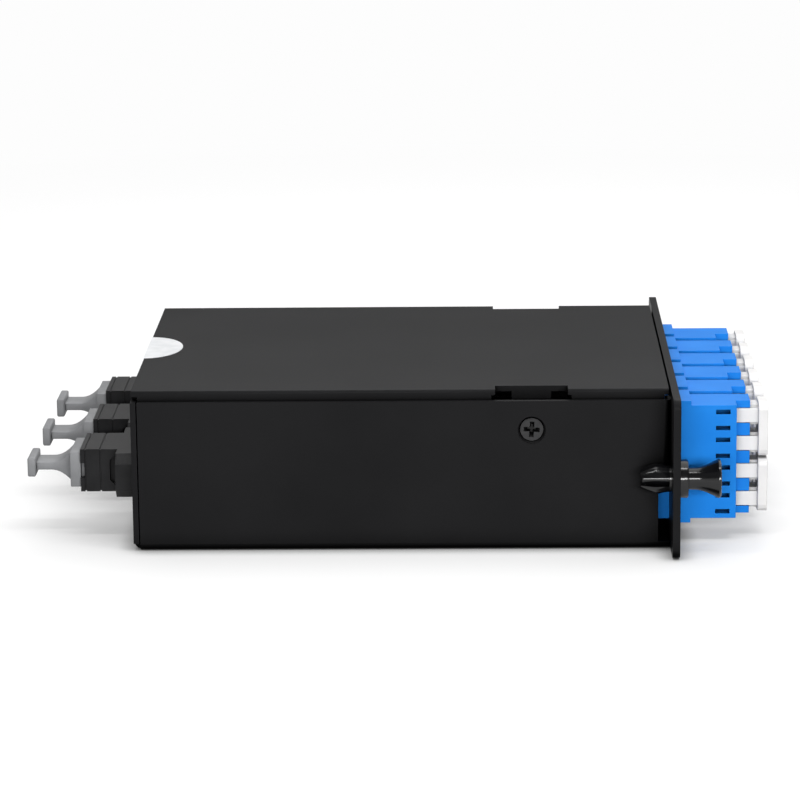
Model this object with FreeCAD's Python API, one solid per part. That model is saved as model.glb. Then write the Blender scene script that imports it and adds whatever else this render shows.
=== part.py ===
import FreeCAD, Part
import math
import os

Vector = FreeCAD.Vector

# Fibre cassette: a folded steel tray and cover, a front plate with six stacked LC adapters,
# three multi-fibre adapters in the rear wall, and the fibre that joins them inside.
# Millimetres. +X runs towards the front plate, +Z is up, and the origin is the centre of
# the tray's underside. Seen from the front, the left side is -Y and the right side is +Y.

# Housing of folded sheet
housing_length = 117.0        # outer face of the rear wall to the rear face of the front plate
housing_width = 91.8          # over the two side walls
cassette_height = 35.3        # underside of the tray to the top of the cover
tray_sheet = 1.2
tray_bend_inside = 0.4        # inside radius of the tray's bends
cover_sheet = 1.2
cover_bend_outside = 0.6      # the cover's long edges are folded sharp
cover_side_gap = 0.7          # cover flange to side wall
cover_front_gap = 0.45        # cover to front plate
cover_flange_gap = 0.2        # cover flange to the tray's front tabs and rear wall
cover_stands_proud = 2.1      # cover top above the side walls
cover_flange_height = 5.6
corner_seam = 0.25            # open seam between rear wall and side walls
corner_relief = 0.5           # gap left at the foot of each rear corner
lip_inset = 1.0               # the rear wall's raised lip stays this far inside the cover

# Tabs folded in from the side walls, against the front plate
front_tab_reach = 4.4         # from the side wall's outer face inwards
front_tab_bottom = 16.5
front_relief_length = 2.7     # cut-out of the side wall under each tab

# Notches in the cover's long edges, each with a tab that the side screw holds
screw_from_plate = 30.1
screw_below_top = 8.55
notch_length = 15.8
notch_depth = 3.7
notch_flange_relief = 0.8     # the flange is cut a little longer than the notch
screw_tab_width = 8.6
screw_tab_gap = 0.2           # tab to side wall
screw_tab_below_screw = 4.6
screw_tab_above_screw = 5.0   # to the top of the shelf that carries the tab

# Cover screws, countersunk M3, and the clinch nuts in the cover's tabs
screw_radius = 1.45
screw_length = 5.2
screw_head_radius = 2.5
screw_head_rim = 0.3          # straight edge of the head, before its 45 degree cone
countersink_radius = 3.05
countersink_rim = 0.35        # straight part of the countersink, before its cone
screw_seat_clearance = 0.04   # head's cone to the countersink's
recess_reach = 1.65           # cross recess, centre to arm end
recess_arm = 0.95
recess_depth = 0.9
nut_bore_radius = 1.5
nut_shank_radius = 2.1
nut_shank_length = 0.6
nut_body_radius = 3.1
nut_body_height = 1.6
nut_hole_clearance = 0.05
fastener_sides = 12           # flat sides of screws, nuts and small holes
countersink_sides = 20

# Front plate
plate_sheet = 1.6
plate_width = 111.0
plate_bottom = 0.2            # above the tray's underside
plate_below_cover = 0.1
plate_corner_radius = 2.0
window_clearance = 0.1        # plate window round an adapter, each side

# LC adapters, four ports high, six in a row
adapter_count = 6
adapter_pitch = 13.64
adapter_thickness = 10.9
adapter_height = 25.4
adapter_centre_height = 17.8
shoulder_height = 27.4
shoulder_thickness = 3.1
body_reach = 16.2             # port block in front of the plate
hood_setback = 3.2            # the latch hood ends this far behind the port block
hood_depth = 4.3              # latch side of the adapter that the hood covers
rear_reach = 12.2             # port block behind the plate
port_count = 4
port_pitch = 6.25
port_size = 4.7
port_far_wall = 1.1
latch_channel_width = 3.4
latch_hood_wall = 0.9
catch_offset = 1.8            # centre of each latch-catch window from its port's centre
catch_width = 1.0
catch_length = 3.1
catch_from_hood_end = 1.4
catch_depth = 2.6
divider_thickness = 9.0       # block between opposite ports, bored for the sleeves
sleeve_sides = 6              # flat sides of sleeves, ferrules and boots
sleeve_length = 6.6
sleeve_radius = 0.8
sleeve_bore_radius = 0.64
sleeve_clearance = 0.04
snap_lug_width = 4.0
snap_lug_length = 3.0
snap_lug_rise = 0.7

# Duplex LC dust caps, each closing two ports one above the other
cap_bar_from_block = 1.8      # gap between the port block and the cap's grip bar
cap_bar_thickness = 2.1
cap_bar_height = 12.2
cap_bar_width = 8.0
cap_bar_corner = 1.6
cap_bar_corner_flats = 3      # each round corner is made of this many flats
cap_plug_clearance = 0.1
cap_plug_depth = 3.6          # into the port
cap_rib_width = 3.2
cap_rib_length = 3.1          # into the port block

# LC plugs inside the housing, with boots
inner_plug_clearance = 0.1
inner_plug_behind_adapter = 7.0
inner_plug_gap = 0.3          # plug face to the adapter's divider
inner_latch_width = 3.0
inner_latch_rise = 3.0
inner_latch_length = 9.0
ferrule_radius = 0.62
boot_length = 9.0
boot_base_radius = 1.9
boot_tip_radius = 0.9

# Multi-fibre adapters in the rear wall
mpo_count = 3
mpo_pitch = 28.0
mpo_centre_height = 15.55
mpo_width = 14.95
mpo_height = 9.6
mpo_outside_reach = 12.35     # behind the rear wall's outer face
mpo_inside_reach = 13.0       # in front of the rear wall's inner face
mpo_window_clearance = 0.1
mpo_flange_gap = 0.4          # flange to the next adapter's flange
mpo_flange_height = 9.9
mpo_flange_thickness = 4.05
mpo_flange_chamfer = 2.0
mpo_flange_hole_radius = 1.1
mpo_flange_hole_from_end = 3.3
mpo_port_width = 12.5
mpo_port_height = 7.0
mpo_key_width = 3.0
mpo_key_height = 0.7
mpo_divider = 1.6
mpo_ferrule_width = 6.4
mpo_ferrule_height = 2.5
mpo_ferrule_clearance = 0.1
mpo_seam_from_end = 4.25
mpo_end_band = 0.95            # end frame, set off by a groove like the seam
mpo_seam_width = 0.35
mpo_seam_depth = 0.2
mpo_side_recess_length = 1.8
mpo_side_recess_height = 7.0
mpo_side_recess_depth = 1.0
mpo_side_recess_bevel = 1.3
mpo_end_notch_length = 0.9
mpo_end_notch_height = 3.3

# Retaining clips of the multi-fibre adapters, behind the rear wall
clip_sheet = 0.3
clip_length = 4.0
clip_leg_drop = 7.4           # from the adapter's top down its sides
clip_foot_reach = 1.6

# Dust caps of the multi-fibre adapters
mpo_cap_rim_width = 13.65
mpo_cap_rim_height = 7.85
mpo_cap_rim_thickness = 2.35
mpo_cap_plug_depth = 8.6
mpo_cap_plug_clearance = 0.15
mpo_cap_grip_width = 7.3
mpo_cap_grip_thickness = 1.65
mpo_cap_grip_length = 7.9     # rim to the rear of the end bar
mpo_cap_flare_length = 4.4
mpo_cap_flare_height = 5.8
mpo_cap_flare_knee = 1.25     # the grip thins quickly over this length, then slowly
mpo_cap_knee_height = 2.3
mpo_cap_bar_width = 9.85
mpo_cap_bar_height = 4.25
mpo_cap_bar_thickness = 1.8
mpo_cap_chamfer = 0.4

# Multi-fibre plugs inside the housing
inner_mpo_clearance = 0.15
inner_mpo_behind_adapter = 9.0
inner_mpo_boot_length = 8.0
inner_mpo_boot_radius = 2.8
inner_mpo_boot_tip_radius = 1.9
inner_mpo_gap = 0.5
ferrule_past_divider = 0.3
boot_sides = 12

# Fan-out sleeves on the multi-fibre plugs, and fibres in round jackets
fanout_length = 12.0
fanout_width = 7.0
fanout_height = 5.6
fanout_corner = 1.4
fibre_radius = 0.45
fibre_sides = 5
fibre_runs = 3                # straight runs that follow the fibre's eased line
fibre_row_pitch = 1.15
fibre_column_pitch = 2.4

# Push-pull latches in the ears of the front plate
latch_sides = 16              # flat sides of the grommet, plunger and plate hole
latch_spacing = 99.2
latch_height = 16.75
latch_collar_radius = 4.2
latch_collar_thickness = 1.9
latch_collar_edge = 0.35      # bevel
latch_neck_radius = 2.85
latch_hole_clearance = 0.08
latch_leg_radius = 3.3
latch_leg_bulge = 3.65        # behind the plate, where the legs are widest
latch_leg_length = 6.8
latch_leg_tip_radius = 2.15
latch_split = 2.2
latch_split_from_plate = 0.6
plunger_core_radius = 1.4
plunger_clearance = 0.06
plunger_waist_radius = 2.45
plunger_head_radius = 4.4
plunger_length = 7.0          # collar to the end of the head
plunger_waist_length = 2.0
plunger_rim = 0.55
plunger_flare_bands = 3       # straight bands that make up the flare
plunger_flare_power = 1.3     # how slowly the flare opens at first
plunger_crown = 0.5           # bevel round the head's end
plunger_core_short = 0.4      # core ends this far inside the legs' tips

# Round seal folded over the cover's rear edge
label_half_width = 10.8
label_half_length = 7.9
label_offset = -0.4
label_thickness = 0.12
label_sides = 36

# Places worked out from the sizes above
plate_back = housing_length / 2
plate_front = plate_back + plate_sheet
rear_outer = -housing_length / 2
rear_inner = rear_outer + tray_sheet
side_outer = housing_width / 2
side_inner = side_outer - tray_sheet
side_height = cassette_height - cover_stands_proud
tray_bend_outside = tray_bend_inside + tray_sheet
cover_half = side_inner - cover_side_gap
tab_half = side_inner - screw_tab_gap
cover_underside = cassette_height - cover_sheet
screw_x = plate_back - screw_from_plate
screw_height = cassette_height - screw_below_top
plate_top = cassette_height - plate_below_cover
block_front = plate_front + body_reach
block_rear = plate_back - rear_reach
adapter_middle = (block_front + block_rear) / 2
port_near = -adapter_thickness / 2 + (adapter_thickness - port_far_wall - port_size)
port_axis = port_near + port_size / 2
mpo_rear_end = rear_outer - mpo_outside_reach
mpo_front_end = rear_inner + mpo_inside_reach
mpo_middle = (mpo_rear_end + mpo_front_end) / 2
mpo_flange_width = mpo_pitch - mpo_flange_gap
fanout_rear = mpo_front_end + inner_mpo_behind_adapter + inner_mpo_boot_length

parts = {}


def box(x0, x1, y0, y1, z0, z1):
    return Part.makeBox(x1 - x0, y1 - y0, z1 - z0, Vector(x0, y0, z0))


def ring(radius, x, y, z, sides):
    """Corners of an even polygon across X, for small rods that repeat many times."""
    return [Vector(x, y + radius * math.cos(math.tau * (k + 0.5) / sides),
                   z + radius * math.sin(math.tau * (k + 0.5) / sides)) for k in range(sides)]


def flat_face(corners):
    return Part.Face(Part.makePolygon(corners + corners[:1]))


def faceted(stations, sides):
    """A solid through (radius, x, y, z) stations, straight from each to the next."""
    rings = [ring(*station, sides) for station in stations]
    faces = [flat_face(rings[0]), flat_face(rings[-1])]
    for here, there in zip(rings, rings[1:]):
        for k in range(sides):
            faces.append(flat_face([here[k - 1], here[k], there[k], there[k - 1]]))
    return Part.Solid(Part.Shell(faces))


def on_screw_axis(stations, sides=fastener_sides):
    """A faceted solid on the left cover screw's axis through (radius, y) stations."""
    along_x = faceted([(radius, y, 0, 0) for radius, y in stations], sides)
    along_x.rotate(Vector(0, 0, 0), Vector(0, 0, 1), 90)
    return moved(along_x, screw_x, 0, screw_height)


def outline(points, to_space):
    """A closed face whose corners are (u, v) or (u, v, radius); to_space places a (u, v)."""
    edges = []
    corners = []
    count = len(points)
    for index, point in enumerate(points):
        here = Vector(point[0], point[1], 0)
        radius = point[2] if len(point) > 2 else 0
        if radius == 0:
            corners.append((here, here, here))
            continue
        before = points[index - 1]
        after = points[(index + 1) % count]
        back = (Vector(before[0], before[1], 0) - here).normalize()
        ahead = (Vector(after[0], after[1], 0) - here).normalize()
        half = back.getAngle(ahead) / 2
        run = radius / math.tan(half)
        bisector = (back + ahead).normalize()
        middle = here + bisector * (radius / math.sin(half) - radius)
        corners.append((here + back * run, middle, here + ahead * run))
    for index, (first, middle, last) in enumerate(corners):
        if (last - first).Length > 1e-6:
            edges.append(Part.Arc(*[to_space(p.x, p.y) for p in (first, middle, last)]).toShape())
        following = corners[(index + 1) % count][0]
        if (following - last).Length > 1e-6:
            start, end = to_space(last.x, last.y), to_space(following.x, following.y)
            edges.append(Part.LineSegment(start, end).toShape())
    return Part.Face(Part.Wire(edges))


def prism_x(points, x0, x1):
    """Extrudes a (y, z) outline along X."""
    return outline(points, lambda u, v: Vector(x0, u, v)).extrude(Vector(x1 - x0, 0, 0))


def prism_y(points, y0, y1):
    """Extrudes an (x, z) outline along Y."""
    return outline(points, lambda u, v: Vector(u, y0, v)).extrude(Vector(0, y1 - y0, 0))


def prism_z(points, z0, z1):
    """Extrudes an (x, y) outline along Z."""
    return outline(points, lambda u, v: Vector(u, v, z0)).extrude(Vector(0, 0, z1 - z0))


def rounded_bar(width, height, radius):
    """Corners of a rectangle centred on zero, with rounded corners."""
    u, v = width / 2, height / 2
    return [(-u, -v, radius), (u, -v, radius), (u, v, radius), (-u, v, radius)]


def flatted_bar(width, height, radius, flats):
    """Corners of a rectangle centred on zero, each round corner made of a few flats."""
    corners = []
    for quarter in range(4):
        u = width / 2 - radius if quarter in (0, 3) else radius - width / 2
        v = height / 2 - radius if quarter in (0, 1) else radius - height / 2
        for step in range(flats + 1):
            turn = math.pi / 2 * (quarter + step / flats)
            corners.append((u + radius * math.cos(turn), v + radius * math.sin(turn)))
    return corners


def chamfered_bar(width, height, chamfer):
    """Corners of a rectangle centred on zero, with its four corners cut off."""
    corners = []
    for u, v in ((-1, -1), (1, -1), (1, 1), (-1, 1)):
        on_side = (u * width / 2, v * (height / 2 - chamfer))
        on_end = (u * (width / 2 - chamfer), v * height / 2)
        corners += [on_side, on_end] if u == v else [on_end, on_side]
    return corners


def shifted(points, du, dv):
    return [(p[0] + du, p[1] + dv) + tuple(p[2:]) for p in points]


def moved(shape, x, y, z):
    shape.translate(Vector(x, y, z))
    return shape


def joined(shapes):
    return shapes[0].multiFuse(shapes[1:]).removeSplitter()


def mirrored_y(shape):
    return shape.mirror(Vector(0, 0, 0), Vector(0, 1, 0))


def both_sides(shape):
    return [shape, mirrored_y(shape)]


def centres(count, pitch):
    return [(index - (count - 1) / 2) * pitch for index in range(count)]


adapter_places = centres(adapter_count, adapter_pitch)
port_heights = [adapter_centre_height + step for step in centres(port_count, port_pitch)]
mpo_places = centres(mpo_count, mpo_pitch)


# Tray: floor, side walls and rear wall are one folded sheet

def tray_channel(x0, x1, top):
    """Floor and both side walls, up to the given height."""
    out, wall = side_outer, side_inner
    return prism_x([(-out, top), (-out, 0, tray_bend_outside), (out, 0, tray_bend_outside),
                    (out, top), (wall, top), (wall, tray_sheet, tray_bend_inside),
                    (-wall, tray_sheet, tray_bend_inside), (-wall, top)], x0, x1)


def tray_front_tab():
    """Left side wall folded inwards onto the front plate."""
    start = plate_back - front_relief_length
    tab_edge = front_tab_reach - side_outer
    return prism_z([(start, -side_outer), (plate_back, -side_outer, tray_bend_outside),
                    (plate_back, tab_edge), (plate_back - tray_sheet, tab_edge),
                    (plate_back - tray_sheet, -side_inner, tray_bend_inside),
                    (start, -side_inner)], front_tab_bottom, side_height)


def tray_rear_wall():
    foot = rear_outer + tray_bend_outside + tray_sheet
    half_foot = side_outer - tray_bend_outside - corner_relief
    half_lip = cover_half - cover_sheet - lip_inset
    bend = [(rear_outer, tray_bend_outside * 2), (rear_outer, 0, tray_bend_outside), (foot, 0),
            (foot, tray_sheet), (rear_inner, tray_sheet, tray_bend_inside),
            (rear_inner, tray_bend_outside * 2)]
    return [prism_y(bend, -half_foot, half_foot),
            box(rear_outer, rear_inner, -side_outer, side_outer, tray_bend_outside, side_height),
            box(rear_outer, rear_inner, -half_lip, half_lip, side_height, cover_underside)]


def side_countersink():
    """The screw's hole through the left side wall: a short straight rim, then a cone."""
    cone = tray_sheet - countersink_rim
    return on_screw_axis([(countersink_radius, -side_outer),
                          (countersink_radius, countersink_rim - side_outer),
                          (countersink_radius - cone, -side_inner)], countersink_sides)


def make_tray():
    wall_start = rear_inner + corner_seam
    wall_end = plate_back - front_relief_length
    tray = joined([tray_channel(wall_start, wall_end, side_height),
                   tray_channel(wall_end, plate_back, tray_bend_outside)]
                  + both_sides(tray_front_tab()) + tray_rear_wall())
    half_width = mpo_width / 2 + mpo_window_clearance
    half_height = mpo_height / 2 + mpo_window_clearance
    windows = [box(rear_outer, rear_inner, y - half_width, y + half_width,
                   mpo_centre_height - half_height, mpo_centre_height + half_height)
               for y in mpo_places]
    return tray.cut(windows + both_sides(side_countersink()))


# Cover: one sheet with two sharp side flanges, and a screw tab in each notch

def cover_screw_tab():
    """The left tab: down from the notch, out to the side wall, and down behind the screw."""
    back = cover_half - notch_depth
    shelf = screw_height + screw_tab_above_screw
    under_shelf = shelf - cover_sheet
    foot = screw_height - screw_tab_below_screw
    inner = tab_half - cover_sheet
    section = [(cover_sheet - back, cassette_height), (-back, cassette_height), (-back, shelf),
               (-tab_half, shelf), (-tab_half, foot), (-inner, foot), (-inner, under_shelf),
               (cover_sheet - back, under_shelf)]
    tab = prism_x(section, screw_x - screw_tab_width / 2, screw_x + screw_tab_width / 2)
    hole_radius = nut_shank_radius + nut_hole_clearance
    return tab.cut(on_screw_axis([(hole_radius, -tab_half), (hole_radius, -inner)]))


def make_cover():
    front = plate_back - cover_front_gap
    flange_front = plate_back - tray_sheet - cover_flange_gap
    flange_rear = rear_inner + cover_flange_gap
    flange_foot = cassette_height - cover_flange_height
    inner = cover_half - cover_sheet
    profile = [(-cover_half, flange_foot), (-cover_half, cassette_height, cover_bend_outside),
               (cover_half, cassette_height, cover_bend_outside), (cover_half, flange_foot),
               (inner, flange_foot), (inner, cover_underside), (-inner, cover_underside),
               (-inner, flange_foot)]
    cover = prism_x(profile, rear_outer, front)
    notch = box(screw_x - notch_length / 2, screw_x + notch_length / 2,
                -cover_half, notch_depth - cover_half, flange_foot, cassette_height)
    half_relief = notch_length / 2 + notch_flange_relief
    relief = box(screw_x - half_relief, screw_x + half_relief, -cover_half, -inner,
                 flange_foot, cover_underside)
    front_end = box(flange_front, front, -cover_half, -inner, flange_foot, cover_underside)
    rear_end = box(rear_outer, flange_rear, -cover_half, -inner, flange_foot, cover_underside)
    cuts = [cut for shape in (notch, relief, front_end, rear_end) for cut in both_sides(shape)]
    return joined([cover.cut(cuts)] + both_sides(cover_screw_tab()))


# Cover screws and clinch nuts, one on each side

def cover_screw():
    """Left screw: countersunk head with a cross recess, and a plain shank."""
    cone_gap = countersink_radius - screw_head_radius - screw_seat_clearance
    cone_start = countersink_rim + cone_gap - side_outer
    face = cone_start - screw_head_rim
    cone_end = cone_start + screw_head_radius - screw_radius
    body = on_screw_axis([(screw_head_radius, face), (screw_head_radius, cone_start),
                          (screw_radius, cone_end), (screw_radius, face + screw_length)])
    half_arm = recess_arm / 2
    flat = box(screw_x - recess_reach, screw_x + recess_reach, face, face + recess_depth,
               screw_height - half_arm, screw_height + half_arm)
    upright = box(screw_x - half_arm, screw_x + half_arm, face, face + recess_depth,
                  screw_height - recess_reach, screw_height + recess_reach)
    return body.cut([flat, upright])


def clinch_nut():
    seat = cover_sheet - tab_half
    shank_end = seat - nut_shank_length
    back = seat + nut_body_height
    body = on_screw_axis([(nut_body_radius, seat), (nut_body_radius, back)])
    shank = on_screw_axis([(nut_shank_radius, shank_end), (nut_shank_radius, seat)])
    bore = on_screw_axis([(nut_bore_radius, shank_end), (nut_bore_radius, back)])
    return joined([body, shank]).cut(bore)


# Front plate with a window for each adapter and a hole for each latch

def make_plate():
    plate = prism_x(shifted(rounded_bar(plate_width, plate_top - plate_bottom,
                                        plate_corner_radius),
                            0, (plate_top + plate_bottom) / 2), plate_back, plate_front)
    half_width = adapter_thickness / 2 + window_clearance
    half_height = adapter_height / 2 + window_clearance
    windows = [box(plate_back, plate_front, y - half_width, y + half_width,
                   adapter_centre_height - half_height, adapter_centre_height + half_height)
               for y in adapter_places]
    radius = latch_neck_radius + latch_hole_clearance
    holes = [moved(on_axis([(radius, plate_back), (radius, plate_front)]),
                   0, side * latch_spacing / 2, latch_height) for side in (-1, 1)]
    return plate.cut(windows + holes)


# LC adapter: shoulder, port block and latch hood, the same in front and behind

def adapter_port_cuts(z):
    """The two opposite ports at one height, with their latch channels and catch windows."""
    half_port = port_size / 2
    half_channel = latch_channel_width / 2
    near_face = -adapter_thickness / 2
    catch_end = plate_front + body_reach - hood_setback - catch_from_hood_end
    stop = adapter_middle + divider_thickness / 2
    cuts = [box(stop, block_front, port_near, port_near + port_size, z - half_port, z + half_port),
            box(stop, block_front, near_face + latch_hood_wall, port_near,
                z - half_channel, z + half_channel)]
    plane = Vector(adapter_middle, 0, 0)
    cuts += [cut.mirror(plane, Vector(1, 0, 0)) for cut in cuts]
    for side in (-1, 1):
        middle = z + side * catch_offset
        cuts.append(box(catch_end - catch_length, catch_end, near_face, near_face + catch_depth,
                        middle - catch_width / 2, middle + catch_width / 2))
    return cuts


def adapter_snap_lug():
    """Ramp on the adapter's top that catches behind the plate."""
    top = adapter_centre_height + adapter_height / 2
    return prism_y([(plate_back - snap_lug_length, top), (plate_back, top),
                    (plate_back, top + snap_lug_rise)], -snap_lug_width / 2, snap_lug_width / 2)


def sleeve_bar(radius, length, y, z):
    """A faceted bar across the adapter's divider, on a port's axis."""
    return faceted([(radius, adapter_middle - length / 2, y + port_axis, z),
                    (radius, adapter_middle + length / 2, y + port_axis, z)], sleeve_sides)


def make_lc_adapter():
    half = adapter_thickness / 2
    bottom = adapter_centre_height - adapter_height / 2
    top = bottom + adapter_height
    shoulder = box(plate_front, plate_front + shoulder_thickness, -half, half,
                   adapter_centre_height - shoulder_height / 2,
                   adapter_centre_height + shoulder_height / 2)
    block = box(block_rear, block_front, hood_depth - half, half, bottom, top)
    hood = box(block_rear + hood_setback, block_front - hood_setback, -half, hood_depth - half,
               bottom, top)
    lug = adapter_snap_lug()
    lower_lug = lug.mirror(Vector(0, 0, adapter_centre_height), Vector(0, 0, 1))
    cuts = [cut for z in port_heights for cut in adapter_port_cuts(z)]
    cuts += [sleeve_bar(sleeve_radius + sleeve_clearance, divider_thickness, 0, z)
             for z in port_heights]
    return joined([shoulder, block, hood, lug, lower_lug]).cut(cuts)


def make_sleeve(y, z):
    """Ceramic sleeve that lines up two ferrules."""
    return sleeve_bar(sleeve_radius, sleeve_length, y, z).cut(
        sleeve_bar(sleeve_bore_radius, sleeve_length, y, z))


# Duplex dust cap: a grip bar and two plugs, each with a rib in the latch channel

def make_lc_cap():
    """A cap centred on z = 0, for an adapter centred on y = 0."""
    bar_back = block_front + cap_bar_from_block
    outline_of_bar = flatted_bar(cap_bar_width, cap_bar_height, cap_bar_corner,
                                 cap_bar_corner_flats)
    bar = prism_x(shifted(outline_of_bar, port_axis, 0), bar_back, bar_back + cap_bar_thickness)
    pieces = [bar]
    half = port_size / 2 - cap_plug_clearance
    plug_end = block_front - cap_plug_depth
    rib_near = hood_depth - adapter_thickness / 2
    for z in centres(2, port_pitch):
        pieces.append(box(plug_end, bar_back, port_axis - half, port_axis + half,
                          z - half, z + half))
        pieces.append(box(block_front - cap_rib_length, bar_back, rib_near, port_axis - half,
                          z - cap_rib_width / 2, z + cap_rib_width / 2))
    return joined(pieces)


# LC plug inside the housing: square body, ferrule, latch lever and boot

def make_inner_lc_plug(y, z):
    half = port_size / 2 - inner_plug_clearance
    face = adapter_middle - divider_thickness / 2 - inner_plug_gap
    tail = block_rear - inner_plug_behind_adapter
    axis = y + port_axis
    body = box(tail, face, axis - half, axis + half, z - half, z + half)
    ferrule = faceted([(ferrule_radius, face, axis, z),
                       (ferrule_radius, adapter_middle, axis, z)], sleeve_sides)
    hinge = axis - half
    lever = prism_z([(tail + inner_latch_length, hinge), (tail, hinge),
                     (tail, hinge - inner_latch_rise)],
                    z - inner_latch_width / 2, z + inner_latch_width / 2)
    boot = faceted([(boot_tip_radius, tail - boot_length, axis, z),
                    (boot_base_radius, tail, axis, z)], sleeve_sides)
    return joined([body, ferrule, lever, boot])


# Multi-fibre adapter: body through the rear wall, full flange outside

def mpo_body_cuts():
    """Port at each end, ferrule window, key slots, seams and side recesses."""
    half_width, half_height = mpo_width / 2, mpo_height / 2
    port_half, port_rise = mpo_port_width / 2, mpo_port_height / 2
    cuts = []
    for x0, x1 in ((mpo_rear_end, mpo_middle - mpo_divider / 2),
                   (mpo_middle + mpo_divider / 2, mpo_front_end)):
        cuts.append(box(x0, x1, -port_half, port_half, -port_rise, port_rise))
        cuts.append(box(x0, x1, -mpo_key_width / 2, mpo_key_width / 2,
                        port_rise, port_rise + mpo_key_height))
    window = mpo_ferrule_width / 2 + mpo_ferrule_clearance
    window_rise = mpo_ferrule_height / 2 + mpo_ferrule_clearance
    cuts.append(box(mpo_middle - mpo_divider / 2, mpo_middle + mpo_divider / 2,
                    -window, window, -window_rise, window_rise))
    for x in (mpo_rear_end + mpo_end_band, mpo_rear_end + mpo_seam_from_end):
        ring = box(x, x + mpo_seam_width, -half_width, half_width, -half_height, half_height)
        core = box(x, x + mpo_seam_width, mpo_seam_depth - half_width,
                   half_width - mpo_seam_depth, mpo_seam_depth - half_height,
                   half_height - mpo_seam_depth)
        cuts.append(ring.cut(core))
    recess_end = rear_outer - mpo_flange_thickness
    recess_start = recess_end - mpo_side_recess_length
    rise, bevel = mpo_side_recess_height / 2, mpo_side_recess_bevel
    recess = prism_y([(recess_end, -rise), (recess_end, rise),
                      (recess_start + bevel, rise), (recess_start, rise - bevel),
                      (recess_start, bevel - rise), (recess_start + bevel, -rise)],
                     -half_width, mpo_side_recess_depth - half_width)
    notch = box(mpo_rear_end, mpo_rear_end + mpo_end_notch_length, -half_width, -port_half,
                -mpo_end_notch_height / 2, mpo_end_notch_height / 2)
    return cuts + both_sides(recess) + both_sides(notch)


def make_mpo_adapter():
    half_width, half_height = mpo_width / 2, mpo_height / 2
    body = box(mpo_rear_end, mpo_front_end, -half_width, half_width, -half_height, half_height)
    flange = prism_x(chamfered_bar(mpo_flange_width, mpo_flange_height, mpo_flange_chamfer),
                     rear_outer - mpo_flange_thickness, rear_outer)
    hole_place = mpo_flange_width / 2 - mpo_flange_hole_from_end
    holes = [faceted([(mpo_flange_hole_radius, rear_outer - mpo_flange_thickness, y, 0),
                      (mpo_flange_hole_radius, rear_outer, y, 0)], fastener_sides)
             for y in (-hole_place, hole_place)]
    return joined([body, flange.cut(holes)]).cut(mpo_body_cuts())


def make_mpo_clip():
    """Spring clip over the adapter's inner half, its feet against the rear wall."""
    half_width, top = mpo_width / 2, mpo_height / 2
    outer = half_width + clip_sheet
    foot = top - clip_leg_drop
    strap = prism_x([(-half_width, foot), (-outer, foot), (-outer, top + clip_sheet),
                     (outer, top + clip_sheet), (outer, foot), (half_width, foot),
                     (half_width, top), (-half_width, top)],
                    rear_inner + clip_sheet, rear_inner + clip_sheet + clip_length)
    feet = both_sides(box(rear_inner, rear_inner + clip_sheet, -outer - clip_foot_reach,
                          -half_width, foot, top))
    return joined([strap] + feet)


# Dust cap of a multi-fibre adapter: plug, rim, flared grip and end bar

def make_mpo_cap():
    rim = prism_x(chamfered_bar(mpo_cap_rim_width, mpo_cap_rim_height, mpo_cap_chamfer),
                  mpo_rear_end - mpo_cap_rim_thickness, mpo_rear_end)
    half_width = mpo_port_width / 2 - mpo_cap_plug_clearance
    half_height = mpo_port_height / 2 - mpo_cap_plug_clearance
    plug = box(mpo_rear_end, mpo_rear_end + mpo_cap_plug_depth, -half_width, half_width,
               -half_height, half_height)
    rim_rear = mpo_rear_end - mpo_cap_rim_thickness
    bar_front = rim_rear - mpo_cap_grip_length
    half_grip = [(rim_rear, mpo_cap_flare_height / 2),
                 (rim_rear - mpo_cap_flare_knee, mpo_cap_knee_height / 2),
                 (rim_rear - mpo_cap_flare_length, mpo_cap_grip_thickness / 2),
                 (bar_front, mpo_cap_grip_thickness / 2)]
    grip = prism_y(half_grip + [(x, -z) for x, z in reversed(half_grip)],
                   -mpo_cap_grip_width / 2, mpo_cap_grip_width / 2)
    bar = prism_x(chamfered_bar(mpo_cap_bar_width, mpo_cap_bar_height, mpo_cap_chamfer),
                  bar_front - mpo_cap_bar_thickness, bar_front)
    return joined([rim, plug, grip, bar])


def make_inner_mpo_plug():
    """Plug in the adapter's inner port, with its ferrule in the divider and a round boot."""
    face = mpo_middle + mpo_divider / 2 + inner_mpo_gap
    tail = mpo_front_end + inner_mpo_behind_adapter
    half_width = mpo_port_width / 2 - inner_mpo_clearance
    half_height = mpo_port_height / 2 - inner_mpo_clearance
    body = box(face, tail, -half_width, half_width, -half_height, half_height)
    ferrule = box(mpo_middle - mpo_divider / 2 - ferrule_past_divider, face,
                  -mpo_ferrule_width / 2, mpo_ferrule_width / 2,
                  -mpo_ferrule_height / 2, mpo_ferrule_height / 2)
    boot = faceted([(inner_mpo_boot_radius, tail, 0, 0),
                    (inner_mpo_boot_tip_radius, fanout_rear, 0, 0)], boot_sides)
    return joined([body, ferrule, boot])


# Fibre: a fan-out sleeve at the end of each multi-fibre boot, then one fibre for each LC plug

def make_fibre(start, end):
    """A fibre that leaves and arrives along X, on a line that eases from one to the other."""
    stations = []
    for step in range(fibre_runs + 1):
        part_way = step / fibre_runs
        eased = part_way * part_way * (3 - 2 * part_way)
        stations.append((fibre_radius, start.x + (end.x - start.x) * part_way,
                         start.y + (end.y - start.y) * eased,
                         start.z + (end.z - start.z) * eased))
    return faceted(stations, fibre_sides)


def make_fanout_sleeve():
    """Flat sleeve on the X axis, butted to the boot."""
    return prism_x(chamfered_bar(fanout_width, fanout_height, fanout_corner), fanout_rear,
                   fanout_rear + fanout_length)


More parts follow.
